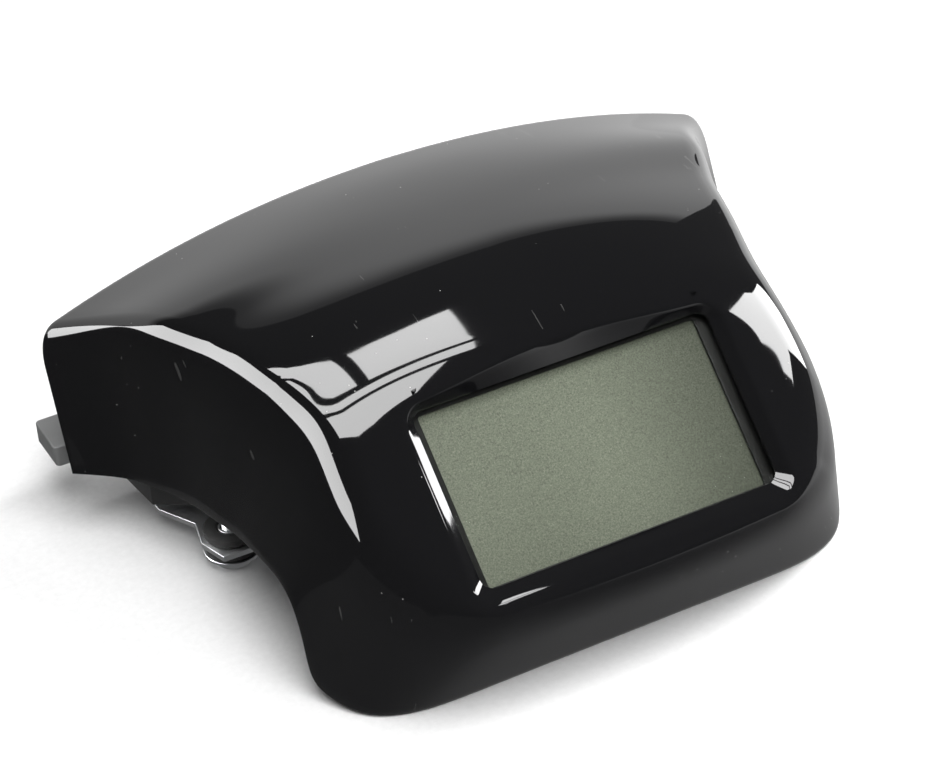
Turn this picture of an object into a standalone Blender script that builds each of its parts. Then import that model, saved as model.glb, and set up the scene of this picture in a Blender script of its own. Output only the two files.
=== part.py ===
"""Motorcycle instrument cluster: a gloss hood cover over an LCD module and its mounting base.

Lengths are written in millimetres and turned into metres by MM.  The cover is drawn in its own
frame, whose z axis leans COVER_LEAN from the vertical; the screen is tilted SCREEN_TILT more.
The base, its bracket and its bolts stand upright, and the cluster rests on the bolt heads.
+X is the rider's right, +Y points away from the rider and +Z points up.
"""
import math

import bmesh
import bpy
import numpy as np
from mathutils import Matrix, Vector

MM = 0.001
GAP = 0.3                       # clearance kept between touching pieces

# overall placing
COVER_LEAN = 8.5                # cover frame's lean, rear end up, degrees
SCREEN_TILT = 33.3              # screen's tilt in the cover frame, degrees
SCREEN_HEIGHT = 67.0            # screen centre over the cover frame's origin
TABLE_Z = 2.0                   # height of the resting plane under the upright frame's origin
ORIGIN_Y = 53.03                # middle of the cluster's length, from the screen centre

# cover
COVER_WALL = 2.4
FILLET = 11.0                   # reach of the rounding over the top
FILLET_DROP = 19.0              # reach of the rounding down the walls
FILLET_SHARE = 0.8              # most of a row's top that the rounding may take
FILLET_PULL = 0.67              # how far the rounding leans out to the sharp corner
WINDOW_HALF = (49.3, 27.8)      # foot of the recess walls around the screen
WINDOW_MOUTH = (53.2, 31.5)     # mouth of the recess, its middle a little lower
MOUTH_DROP = 1.0
MOUTH_BOW = 4.0                 # the hood's arch over the mouth
RECESS_FOOT = 0.4               # where the sloping recess walls end, over the screen plane
RECESS_END = -0.8               # end of the short upright skirt under them

# display module, in a frame that lies MODULE_DROP under the screen plane
MODULE_DROP = 4.5
LENS_TOP = MODULE_DROP + RECESS_END - GAP
MODULE_HALF = (55.5, 33.5)
GLASS_HALF = (52.5, 30.5)
VIEW_HALF = (46.3, 27.0)
CASE_WALL = 2.0
FRONT_CASE_BACK = -13.0
REAR_CASE_BACK = -34.0
BOARD_TOP = -10.6
BOARD_THICK = 1.6

# base, in the upright frame
BOLT_X = 84.3
BOLT_Y = 76.6
REAR_BOLT_Y = 112.0
BOLT_HEAD = (6.4, 4.0)          # radius and height
WASHER = (9.2, 1.5)
GROMMET_FLANGE = (8.6, 2.6)
GROMMET_NECK = (5.6, 2.0)
SLEEVE = (3.9, 3.1)             # outer and inner radius
BOLT_SHANK = 2.8
STUD_END = 10.0                 # the side bolts' length over their sleeves
PLATE_THICK = 2.0
BASE_HEIGHT = 20.0
BASE_WALL = 2.5
COVER_SCREWS = [(66, 50), (60, 104)]
BOSS_RADIUS = 4.0
BOSS_BORE = 1.9
SCREW_SHANK = 1.5
SCREW_HEAD = (3.4, 2.0)         # radius and height
SIDE_SOCKET = ((-121, 128.3, 20.0), (-94, 146, 27.5))

# screws that hold the two case halves together
EAR_X = 59.5
EAR_Y = 21.0
EAR_HALF = (4.2, 4.5)

# stations along the cover's left half, from the rear corner round to the middle of the chin:
# the rim, the corner line where the walls meet the top, and the inner end of the top surface
RIM = [(121, 116, 10), (109, 106, 11.5), (103, 96, 14), (97.5, 82, 17.5), (94.5, 66, 22),
       (93, 55, 25.5), (92.5, 42, 29.5), (92, 27, 32.5), (92, 16, 30), (91.8, 9.5, 20),
       (91.5, 4.5, 10), (88.5, -2.5, 6), (81.5, -12, 5), (70, -17.5, 5), (55, -19, 5),
       (30, -19, 5), (0, -19, 5)]
CORNER = [(120, 139.5), (107.5, 120.5), (100, 104), (93.5, 88), (87, 67), (83, 54), (80, 41),
          (78, 25), (77.5, 12), (77, 1), (75, -9), (70, -20), (62, -28), (52, -33.5),
          (41, -36), (24, -37.5), (0, -38)]
# height of the top surface: y, middle, corner line, half width there, crown exponent
CROWN = [(-38, 49.0, 44.5, 76, 4.0), (-27, 54.5, 49.0, 76, 4.0), (-9, 66.0, 60.5, 77, 4.0),
         (10, 78.5, 71.5, 78, 4.0), (26, 90.0, 77.0, 79, 4.0), (42, 94.5, 79.5, 80, 3.4),
         (62, 95.0, 80.0, 85, 2.8), (85, 91.0, 75.5, 93, 2.4), (105, 86.0, 70.5, 101, 2.3),
         (125, 79.5, 59.5, 110, 2.2), (143, 72.0, 48.5, 121, 2.2)]


def spline(points, count):
    """Natural cubic through the points, read at count even steps of the point number."""
    points = np.array(points, float)
    n = len(points)
    left = np.zeros((n, n))
    right = np.zeros((n, points.shape[1]))
    left[0, 0] = 1
    left[-1, -1] = 1
    for i in range(1, n - 1):
        left[i, i - 1:i + 2] = (1, 4, 1)
        right[i] = 6 * (points[i - 1] - 2 * points[i] + points[i + 1])
    bend = np.linalg.solve(left, right)
    result = []
    for where in np.linspace(0, n - 1, count):
        i = min(int(where), n - 2)
        b = where - i
        a = 1 - b
        result.append(a * points[i] + b * points[i + 1]
                      + ((a ** 3 - a) * bend[i] + (b ** 3 - b) * bend[i + 1]) / 6)
    return np.array(result)


CROWN_FINE = spline(CROWN, 201)


def top_height(x, y):
    """Height of the cover's top surface over its own frame."""
    middle, edge, width, power = (np.interp(y, CROWN_FINE[:, 0], CROWN_FINE[:, k])
                                  for k in (1, 2, 3, 4))
    return middle - (middle - edge) * (abs(x) / width) ** power


def screen_matrix():
    """The screen's frame inside the cover's frame, in millimetres."""
    return Matrix.Translation((0, 0, SCREEN_HEIGHT)) @ Matrix.Rotation(
        math.radians(SCREEN_TILT), 4, "X")


def rounded(half_x, half_y, radius, steps, bow=0.0):
    """Left half of a rounded rectangle, from its top middle round to its bottom middle."""
    points = [(0, half_y + bow)]
    for k in range(1, 5):
        x = (half_x - radius) * k / 4
        points.append((-x, half_y + bow * (1 - (x / half_x) ** 2)))
    for k in range(1, steps + 1):
        turn = math.radians(90 * k / steps)
        points.append((-half_x + radius - radius * math.sin(turn),
                       half_y - radius + radius * math.cos(turn)))
    for k in range(1, 5):
        points.append((-half_x, half_y - radius - (2 * half_y - 2 * radius) * k / 4))
    for k in range(1, steps + 1):
        turn = math.radians(90 * k / steps)
        points.append((-half_x + radius - radius * math.cos(turn),
                       -half_y + radius - radius * math.sin(turn)))
    for k in range(1, 5):
        points.append(((-half_x + radius) * (1 - k / 4), -half_y))
    return points


def material(name, colour, roughness, metallic=0.0):
    """A plain Principled material."""
    result = bpy.data.materials.new(name)
    result.use_nodes = True
    shader = result.node_tree.nodes["Principled BSDF"]
    shader.inputs["Base Color"].default_value = (*colour, 1)
    shader.inputs["Roughness"].default_value = roughness
    shader.inputs["Metallic"].default_value = metallic
    return result


def finish(name, mesh, look, parent):
    """Put a bmesh in millimetres into the scene as a named object, shaded smooth."""
    bmesh.ops.scale(mesh, vec=(MM, MM, MM), verts=mesh.verts)
    data = bpy.data.meshes.new(name)
    mesh.to_mesh(data)
    mesh.free()
    data.materials.append(look)
    data.shade_smooth()
    data.set_sharp_from_angle(angle=math.radians(35))
    thing = bpy.data.objects.new(name, data)
    bpy.context.scene.collection.objects.link(thing)
    thing.parent = parent
    return thing


def frame_empty(name, parent, matrix):
    """An empty that carries a group of pieces; the matrix is in metres."""
    empty = bpy.data.objects.new(name, None)
    bpy.context.scene.collection.objects.link(empty)
    empty.parent = parent
    empty.matrix_local = matrix
    return empty


def add_box(mesh, low, high):
    """Add a box between two corners and give its vertices back."""
    size = [b - a for a, b in zip(low, high)]
    middle = [(a + b) / 2 for a, b in zip(low, high)]
    place = Matrix.Translation(middle) @ Matrix.Diagonal((*size, 1))
    return bmesh.ops.create_cube(mesh, size=1, matrix=place)["verts"]


def box(name, low, high, look, parent, round_by=0.0):
    """A plain block, its upright edges rounded when round_by is given."""
    mesh = bmesh.new()
    add_box(mesh, low, high)
    if round_by:
        upright = [e for e in mesh.edges
                   if abs(e.verts[0].co.x - e.verts[1].co.x) < 1e-6
                   and abs(e.verts[0].co.y - e.verts[1].co.y) < 1e-6]
        bmesh.ops.bevel(mesh, geom=upright, offset=round_by, segments=3, profile=0.5,
                        affect="EDGES", material=-1)
    return finish(name, mesh, look, parent)


def corner_loop(mesh, half, z, radius, middle_y):
    """Add the corner points of a rounded rectangle, four steps to a corner."""
    verts = []
    for corner in range(4):
        for k in range(5):
            turn = math.radians(90 * corner + 90 * k / 4)
            cx = (half[0] - radius) * (1 if corner in (0, 3) else -1)
            cy = (half[1] - radius) * (1 if corner in (0, 1) else -1) + middle_y
            verts.append(mesh.verts.new((cx + radius * math.cos(turn),
                                         cy + radius * math.sin(turn), z)))
    return verts


def frame_ring(name, outer, inner, low, high, look, parent, floor=None, inner_round=2.0,
               middle_y=0.0):
    """A rectangular frame, or a tray with a floor of the given thickness at its low face."""
    mesh = bmesh.new()
    outer_round = inner_round + (outer[0] - inner[0])
    step = low if floor is None else low + floor
    loops = [corner_loop(mesh, outer, low, outer_round, middle_y),
             corner_loop(mesh, outer, high, outer_round, middle_y),
             corner_loop(mesh, inner, high, inner_round, middle_y),
             corner_loop(mesh, inner, step, inner_round, middle_y)]
    count = len(loops[0])
    pairs = [(0, 1), (1, 2), (2, 3)]
    if floor is None:
        pairs.append((3, 0))
    for a, b in pairs:
        for i in range(count):
            j = (i + 1) % count
            mesh.faces.new((loops[a][i], loops[a][j], loops[b][j], loops[b][i]))
    if floor is not None:
        mesh.faces.new(list(reversed(loops[0])))
        mesh.faces.new(loops[3])
    bmesh.ops.recalc_face_normals(mesh, faces=mesh.faces)
    return finish(name, mesh, look, parent)


def turned(name, profile, place, look, parent, steps=24):
    """Spin a profile of (radius, z) points round the z axis at a place."""
    mesh = bmesh.new()
    ring = [mesh.verts.new((r, 0, z)) for r, z in profile]
    closed = all(r > 1e-6 for r, _ in profile)
    edges = [mesh.edges.new((a, b)) for a, b in zip(ring, ring[1:])]
    if closed:
        edges.append(mesh.edges.new((ring[-1], ring[0])))
    bmesh.ops.spin(mesh, geom=ring + edges, cent=(0, 0, 0), axis=(0, 0, 1),
                   angle=math.tau, steps=steps, use_merge=True, use_duplicate=False)
    bmesh.ops.remove_doubles(mesh, verts=mesh.verts, dist=0.001)
    bmesh.ops.recalc_face_normals(mesh, faces=mesh.faces)
    bmesh.ops.translate(mesh, verts=mesh.verts, vec=place)
    return finish(name, mesh, look, parent)


def cut(target, cutter, operation="DIFFERENCE"):
    """Leave a live Boolean on the target and hide its cutter."""
    cutter.hide_render = True
    cutter.display_type = "WIRE"
    modifier = target.modifiers.new("cut", "BOOLEAN")
    modifier.object = cutter
    modifier.operation = operation
    modifier.solver = "EXACT"


def cover_rows(stations, fillet_steps, wall_steps, top_steps):
    """Points of the cover's left half: one row for each station, from the screen out and down."""
    rim = spline(RIM, stations)
    corner = spline(CORNER, stations)
    screen = screen_matrix()
    opening = rounded(*WINDOW_MOUTH, 6.0, 4, bow=MOUTH_BOW)
    foot = rounded(WINDOW_HALF[0], WINDOW_HALF[1], 3.0, 4)
    hood_share = 5.0 / (len(RIM) - 1)
    rows = []
    for k in range(stations):
        share = k / (stations - 1)
        if share < hood_share:
            y = 143 + (31.0 - 143) * share / hood_share
            start = Vector((0, y, top_height(0, y)))
            recess = []
        else:
            along = (share - hood_share) / (1 - hood_share) * (len(opening) - 1)
            i = min(int(along), len(opening) - 2)
            mix = along - i
            edge = [opening[i][c] * (1 - mix) + opening[i + 1][c] * mix for c in (0, 1)]
            base = [foot[i][c] * (1 - mix) + foot[i + 1][c] * mix for c in (0, 1)]
            place = screen @ Vector((edge[0], edge[1] - MOUTH_DROP, 5.0))
            start = Vector((place.x, place.y, top_height(place.x, place.y)))
            recess = [screen @ Vector((base[0], base[1], RECESS_END)),
                      screen @ Vector((base[0], base[1], RECESS_FOOT))]
        end = Vector((-corner[k][0], corner[k][1], 0))
        end.z = top_height(end.x, end.y)
        inward = (start - end).xy.normalized()
        reach = min(FILLET, FILLET_SHARE * (start - end).xy.length)
        bend = Vector((end.x + inward.x * reach, end.y + inward.y * reach, 0))
        bend.z = top_height(bend.x, bend.y)
        past = Vector((bend.x - inward.x * 0.5, bend.y - inward.y * 0.5, 0))
        past.z = top_height(past.x, past.y)
        bottom = Vector((-rim[k][0], rim[k][1], rim[k][2]))
        drop = (bottom - end).normalized()
        low = end + drop * min(FILLET_DROP, 0.6 * (bottom - end).length)
        pull = bend + (past - bend).normalized() * (end - bend).length * FILLET_PULL
        push = low - drop * (low - end).length * FILLET_PULL
        row = list(recess) if recess else [start.copy(), start.copy()]
        for n in range(top_steps + 1):
            t = n / top_steps
            x = start.x + (bend.x - start.x) * t
            y = start.y + (bend.y - start.y) * t
            row.append(Vector((x, y, top_height(x, y))))
        for n in range(1, fillet_steps + 1):
            t = n / fillet_steps
            row.append(bend * (1 - t) ** 3 + pull * 3 * t * (1 - t) ** 2
                       + push * 3 * t * t * (1 - t) + low * t ** 3)
        for n in range(1, wall_steps + 1):
            t = n / wall_steps
            row.append(low + (bottom - low) * t)
        rows.append(row)
    return rows


def build_cover(look, parent):
    """The hood cover: one moulded shell, open below and behind, with the screen recess."""
    rows = cover_rows(stations=49, fillet_steps=4, wall_steps=3, top_steps=6)
    width = len(rows[0])
    mesh = bmesh.new()
    grid = [[mesh.verts.new(p) for p in row] for row in rows]
    for a, b in zip(grid, grid[1:]):
        on_centre_line = (a[0].co - a[1].co).length < 0.001
        for i in range(2 if on_centre_line else 0, width - 1):
            mesh.faces.new((a[i], a[i + 1], b[i + 1], b[i]))
    bmesh.ops.remove_doubles(mesh, verts=mesh.verts, dist=0.02)
    left = list(mesh.verts) + list(mesh.edges) + list(mesh.faces)
    bmesh.ops.mirror(mesh, geom=left, matrix=Matrix.Identity(4), axis="X", merge_dist=0.02)
    bmesh.ops.dissolve_degenerate(mesh, edges=mesh.edges, dist=0.01)
    bmesh.ops.recalc_face_normals(mesh, faces=mesh.faces)
    highest = max(mesh.faces, key=lambda face: face.calc_center_median().z)
    if highest.normal.z < 0:
        bmesh.ops.reverse_faces(mesh, faces=mesh.faces)
    cover = finish("hood_cover", mesh, look, parent)
    shell = cover.modifiers.new("wall", "SOLIDIFY")
    shell.thickness = COVER_WALL * MM
    shell.offset = -1
    return cover


def base_low():
    """Height of the base's underside over the upright frame's origin."""
    return (TABLE_Z + BOLT_HEAD[1] + WASHER[1] + PLATE_THICK + 2 * GROMMET_FLANGE[1] + 4 * GAP)


def add_bosses(cover, look, upright):
    """Screw bosses that run from the hood's inside down to the floor of the base."""
    turn = Matrix.Rotation(math.radians(COVER_LEAN), 4, "X")
    up = turn.inverted() @ Vector((0, 0, 1))
    posts = bmesh.new()
    bores = bmesh.new()
    foot = base_low() + BASE_WALL + GAP
    for x, y in COVER_SCREWS:
        for side in (-1, 1):
            post = bmesh.ops.create_cone(posts, cap_ends=True, segments=16, depth=10,
                                         radius1=BOSS_RADIUS, radius2=BOSS_RADIUS,
                                         matrix=Matrix.Translation((side * x, y, foot + 5)))
            for vert in post["verts"]:
                if vert.co.z > foot + 1:
                    point = turn.inverted() @ vert.co
                    for _ in range(30):
                        point += up * (top_height(point.x, point.y) - COVER_WALL / 2 - point.z)
                    vert.co = turn @ point
            bmesh.ops.create_cone(bores, cap_ends=True, segments=12, depth=24,
                                  radius1=BOSS_BORE, radius2=BOSS_BORE,
                                  matrix=Matrix.Translation((side * x, y, foot + 7)))
    cut(cover, finish("cover_bosses", posts, look, upright), "UNION")
    cut(cover, finish("boss_bores", bores, look, upright))


def add_ears(case, name, low, high, look, parent):
    """Screw ears on both sides of a case half, with their screw holes."""
    ears = bmesh.new()
    holes = bmesh.new()
    for x in (-EAR_X, EAR_X):
        for y in (-EAR_Y, EAR_Y):
            inner = math.copysign(MODULE_HALF[0] - 1, x)
            outer = math.copysign(EAR_X + EAR_HALF[0], x)
            add_box(ears, (min(inner, outer), y - EAR_HALF[1], low),
                    (max(inner, outer), y + EAR_HALF[1], high))
            bmesh.ops.create_cone(holes, cap_ends=True, segments=12, depth=20,
                                  radius1=BOSS_BORE, radius2=BOSS_BORE,
                                  matrix=Matrix.Translation((x, y, low - 1)))
    cut(case, finish(name + "_ears", ears, look, parent), "UNION")
    cut(case, finish(name + "_ear_holes", holes, look, parent))


def screw(name, place, length, look, parent):
    """A pan head screw, its head below the place and its shank above it."""
    radius, height = SCREW_HEAD
    turned(name, [(0, -height), (radius * 0.7, -height), (radius, -height * 0.5), (radius, 0),
                  (SCREW_SHANK, 0), (SCREW_SHANK, length), (0, length)],
           place, look, parent, 12)


def build_module(looks, screen):
    """The display module: lens, mask, glass, light guide, board and its two case halves."""
    gx, gy = GLASS_HALF
    mx, my = MODULE_HALF
    box("clear_lens", (-gx, -gy, 1.7), (gx, gy, LENS_TOP), looks["clear"], screen, 2)
    frame_ring("display_mask", (gx, gy), VIEW_HALF, 0.3, 1.7 - GAP, looks["black"], screen,
               inner_round=1.0)
    box("lcd_glass", (-gx, -gy, -2.4), (gx, gy, 0.3 - GAP), looks["lcd"], screen)
    box("light_guide", (-VIEW_HALF[0] - 1, -VIEW_HALF[1] + 1, -6.0),
        (VIEW_HALF[0] + 1, VIEW_HALF[1] - 1, -2.4 - GAP), looks["white"], screen)
    for name, y in (("upper", gy - 2.2), ("lower", 2.2 - gy)):
        box("contact_strip_" + name, (-gx + 4, y - 1.2, BOARD_TOP + GAP),
            (gx - 4, y + 1.2, -2.4 - GAP), looks["rubber"], screen)
    frame_ring("light_guide_holder", (gx - 1, gy - 4), (VIEW_HALF[0] - 1, VIEW_HALF[1] - 3),
               -9.0, -6.0 - GAP, looks["white"], screen, inner_round=1.0)
    for k in range(4):
        x = -30 + 20 * k
        box(f"backlight_led_{k + 1}", (x - 1.8, -1.8, BOARD_TOP + GAP), (x + 1.8, 1.8, -8.6),
            looks["white"], screen)
    board_low = BOARD_TOP - BOARD_THICK
    box("circuit_board", (-gx, -gy, board_low), (gx, gy, BOARD_TOP), looks["board"], screen)
    chips = {"display_driver": (-20, -8, 7, 7, 1.6), "processor": (8, -9, 8, 8, 1.8),
             "voltage_regulator": (34, 14, 5, 4, 2.4)}
    for name, (x, y, half_x, half_y, deep) in chips.items():
        box(name, (x - half_x, y - half_y, board_low - GAP - deep),
            (x + half_x, y + half_y, board_low - GAP), looks["chip"], screen)
    for k, x in enumerate((36, 46)):
        turned(f"capacitor_{k + 1}", [(0, -10), (4, -10), (4, -0.6), (3.6, 0), (0, 0)],
               (x, -12, board_low - GAP), looks["metal"], screen, 16)

    front = frame_ring("front_case", (mx, my), (gx + GAP, gy + GAP), FRONT_CASE_BACK,
                       LENS_TOP, looks["matt"], screen, inner_round=0.5)
    add_ears(front, "front", FRONT_CASE_BACK, FRONT_CASE_BACK + 9, looks["matt"], screen)
    frame_ring("case_seal", (mx - 0.3, my - 0.3), (gx + 0.6, gy + 0.6),
               FRONT_CASE_BACK - GAP - 1.0, FRONT_CASE_BACK - GAP, looks["rubber"], screen,
               inner_round=0.8)
    rear_top = FRONT_CASE_BACK - 2 * GAP - 1.0
    rear = frame_ring("rear_case", (mx, my), (mx - CASE_WALL, my - CASE_WALL), REAR_CASE_BACK,
                      rear_top, looks["matt"], screen, floor=CASE_WALL)
    hole = bmesh.new()
    add_box(hole, (-17.0, 4.0, REAR_CASE_BACK - 2), (17.0, 15.0, REAR_CASE_BACK + 5))
    opening = finish("socket_opening", hole, looks["matt"], screen)
    cut(rear, opening)
    add_ears(rear, "rear", rear_top - 4, rear_top, looks["matt"], screen)
    number = 0
    for x in (-EAR_X, EAR_X):
        for y in (-EAR_Y, EAR_Y):
            number += 1
            screw(f"case_screw_{number}", (x, y, rear_top - 4 - GAP), 10.5, looks["zinc"],
                  screen)
    vent = bmesh.new()
    bmesh.ops.create_cone(vent, cap_ends=True, segments=16, radius1=4.0, radius2=4.0, depth=8,
                          matrix=Matrix.Translation((-38, -14, REAR_CASE_BACK)))
    cut(rear, finish("vent_opening", vent, looks["matt"], screen))
    turned("vent_plug", [(0, -1.6), (5.2, -1.6), (5.6, -1.2), (5.6, -GAP), (3.6, -GAP),
                         (3.6, 2.5), (0, 2.5)],
           (-38, -14, REAR_CASE_BACK), looks["rubber"], screen, 16)
    frame_ring("wiring_socket", (16.5, 5.2), (15.0, 3.7), REAR_CASE_BACK - 9, board_low - GAP - 4,
               looks["grey"], screen, inner_round=0.6, middle_y=9.5)
    carrier = box("pin_carrier", (-14.7, 6.1, REAR_CASE_BACK + 4),
                  (14.7, 12.9, REAR_CASE_BACK + 6), looks["grey"], screen)
    for k in range(6):
        x = -12.5 + 5 * k
        slot = bmesh.new()
        add_box(slot, (x - 0.7, 8.8, REAR_CASE_BACK), (x + 0.7, 10.2, REAR_CASE_BACK + 9))
        cut(carrier, finish(f"pin_slot_{k + 1}", slot, looks["grey"], screen))
        box(f"socket_pin_{k + 1}", (x - 0.4, 9.1, REAR_CASE_BACK - 6),
            (x + 0.4, 9.9, board_low - GAP), looks["brass"], screen)


def build_base(looks, upright):
    """The lower housing, the zinc bracket and the bolts that hold them through grommets."""
    head_top = TABLE_Z + BOLT_HEAD[1]
    washer_top = head_top + WASHER[1]
    plate_low = washer_top + GROMMET_FLANGE[1] + 2 * GAP
    plate_high = plate_low + PLATE_THICK
    underside = base_low()
    outline = [(72, 34), (76, 60), (70, 62), (70, 88), (86, 89), (101, 99), (104, 128)]
    mesh = bmesh.new()
    ring = [(x, y) for x, y in outline] + [(-x, y) for x, y in reversed(outline)]
    floor = mesh.faces.new([mesh.verts.new((x, y, underside)) for x, y in ring])
    raised = bmesh.ops.extrude_face_region(mesh, geom=[floor])["geom"]
    bmesh.ops.translate(mesh, vec=(0, 0, BASE_HEIGHT),
                        verts=[v for v in raised if isinstance(v, bmesh.types.BMVert)])
    bmesh.ops.recalc_face_normals(mesh, faces=mesh.faces)
    tops = [f for f in mesh.faces if f.normal.z > 0.9]
    inner = bmesh.ops.inset_region(mesh, faces=tops, thickness=BASE_WALL, depth=0)
    well = [f for f in mesh.faces if f.normal.z > 0.9 and f not in inner["faces"]]
    bmesh.ops.translate(mesh, vec=(0, 0, BASE_WALL - BASE_HEIGHT),
                        verts=list({v for f in well for v in f.verts}))
    base = finish("base_housing", mesh, looks["matt"], upright)
    shanks = bmesh.new()
    number = 0
    for x, y in COVER_SCREWS:
        for side in (-1, 1):
            number += 1
            bmesh.ops.create_cone(shanks, cap_ends=True, segments=12, depth=12,
                                  radius1=BOSS_BORE, radius2=BOSS_BORE,
                                  matrix=Matrix.Translation((side * x, y, underside)))
            screw(f"cover_screw_{number}", (side * x, y, underside - GAP), 14, looks["zinc"],
                  upright)
    cut(base, finish("floor_holes", shanks, looks["matt"], upright))
    socket = box("side_socket", *SIDE_SOCKET, looks["grey"], upright, 1.5)
    slot = bmesh.new()
    (x0, y0, z0), (x1, y1, z1) = SIDE_SOCKET
    add_box(slot, (x0 + 1.5, y0 + 4, z0 + 1.5), (x1 - 1.5, y1 + 2, z1 - 1.5))
    cut(socket, finish("side_socket_mouth", slot, looks["grey"], upright))

    places = {"left": (-BOLT_X, BOLT_Y), "right": (BOLT_X, BOLT_Y),
              "rear": (0, REAR_BOLT_Y)}
    plate_outline = [(58, 66), (BOLT_X + 7, BOLT_Y - 10), (BOLT_X + 10, BOLT_Y), (92, 87),
                     (99, 100), (99, 120), (60, 124)]
    mesh = bmesh.new()
    ring = [(x, y) for x, y in plate_outline] + [(-x, y) for x, y in reversed(plate_outline)]
    sheet = mesh.faces.new([mesh.verts.new((x, y, plate_low)) for x, y in ring])
    raised = bmesh.ops.extrude_face_region(mesh, geom=[sheet])["geom"]
    bmesh.ops.translate(mesh, vec=(0, 0, PLATE_THICK),
                        verts=[v for v in raised if isinstance(v, bmesh.types.BMVert)])
    bmesh.ops.recalc_face_normals(mesh, faces=mesh.faces)
    plate = finish("mounting_bracket", mesh, looks["zinc"], upright)
    for side, (x, y) in places.items():
        hole = bmesh.new()
        bmesh.ops.create_cone(hole, cap_ends=True, segments=24, depth=20,
                              radius1=GROMMET_NECK[0] + GAP, radius2=GROMMET_NECK[0] + GAP,
                              matrix=Matrix.Translation((x, y, plate_low)))
        cut(plate, finish("hole_" + side, hole, looks["zinc"], upright))
        neck = GROMMET_NECK[0]
        wide = GROMMET_FLANGE[0]
        bore = SLEEVE[0] + GAP
        low = washer_top + GAP
        high = plate_high + GAP + GROMMET_FLANGE[1]
        turned("grommet_" + side,
               [(bore, low), (wide, low), (wide, plate_low - GAP), (neck, plate_low - GAP),
                (neck, plate_high + GAP), (wide, plate_high + GAP), (wide, high), (bore, high)],
               (x, y, 0), looks["rubber"], upright, 24)
        turned("sleeve_" + side, [(SLEEVE[1], low), (SLEEVE[0], low), (SLEEVE[0], high),
                                  (SLEEVE[1], high)], (x, y, 0), looks["zinc"], upright, 20)
        turned("washer_" + side, [(SLEEVE[1], head_top + GAP), (WASHER[0], head_top + GAP),
                                  (WASHER[0], washer_top), (SLEEVE[1], washer_top)],
               (x, y, 0), looks["zinc"], upright, 24)
        tip = high - GAP if side == "rear" else high + STUD_END
        turned("bolt_" + side, [(0, TABLE_Z), (BOLT_HEAD[0], TABLE_Z), (BOLT_HEAD[0], head_top),
                                (BOLT_SHANK, head_top), (BOLT_SHANK, tip), (0, tip)],
               (x, y, 0), looks["zinc"], upright, 20)


def main():
    for thing in list(bpy.data.objects):
        bpy.data.objects.remove(thing)
    looks = {
        "gloss": material("gloss_black", (0.006, 0.006, 0.006), 0.05),
        "matt": material("matt_black", (0.02, 0.02, 0.02), 0.55),
        "black": material("mask_black", (0.01, 0.01, 0.01), 0.4),
        "clear": material("clear_lens", (0.8, 0.85, 0.82), 0.03),
        "lcd": material("lcd_grey_green", (0.2, 0.22, 0.17), 0.3),
        "white": material("diffuser_white", (0.8, 0.8, 0.78), 0.5),
        "rubber": material("black_rubber", (0.02, 0.02, 0.02), 0.8),
        "board": material("board_green", (0.02, 0.12, 0.05), 0.5),
        "chip": material("chip_black", (0.02, 0.02, 0.02), 0.6),
        "metal": material("can_aluminium", (0.7, 0.7, 0.7), 0.3, 1.0),
        "grey": material("connector_grey", (0.35, 0.36, 0.36), 0.5),
        "brass": material("pin_brass", (0.8, 0.6, 0.25), 0.3, 1.0),
        "zinc": material("zinc_plate", (0.7, 0.7, 0.68), 0.35, 1.0),
    }
    upright = frame_empty("upright_frame", None,
                          Matrix.Translation((0, -ORIGIN_Y * MM, -TABLE_Z * MM)))
    lean = frame_empty("cover_frame", upright,
                       Matrix.Rotation(math.radians(COVER_LEAN), 4, "X"))
    screen_place = screen_matrix()
    screen_place.translation *= MM
    screen = frame_empty("screen_frame", lean, screen_place)
    module = frame_empty("module_frame", screen,
                         Matrix.Translation((0, 0, -MODULE_DROP * MM)))
    cover = build_cover(looks["gloss"], lean)
    add_bosses(cover, looks["gloss"], upright)
    build_module(looks, module)
    build_base(looks, upright)


main()
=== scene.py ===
"""Looks of a motorcycle instrument cluster, in the order in which it is put together.

The display module comes first, then the hood cover over it, then the base, its bracket and its
bolts, and last the table, the light and the camera.  Pieces are drawn in millimetres in three
frames: the module's, the cover's, which leans, and the base's, which stands upright.
+X is the rider's right, +Y points away from the rider and +Z points up.
"""

import math

import bmesh
import bpy
import numpy as np
from mathutils import Matrix, Vector


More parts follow.
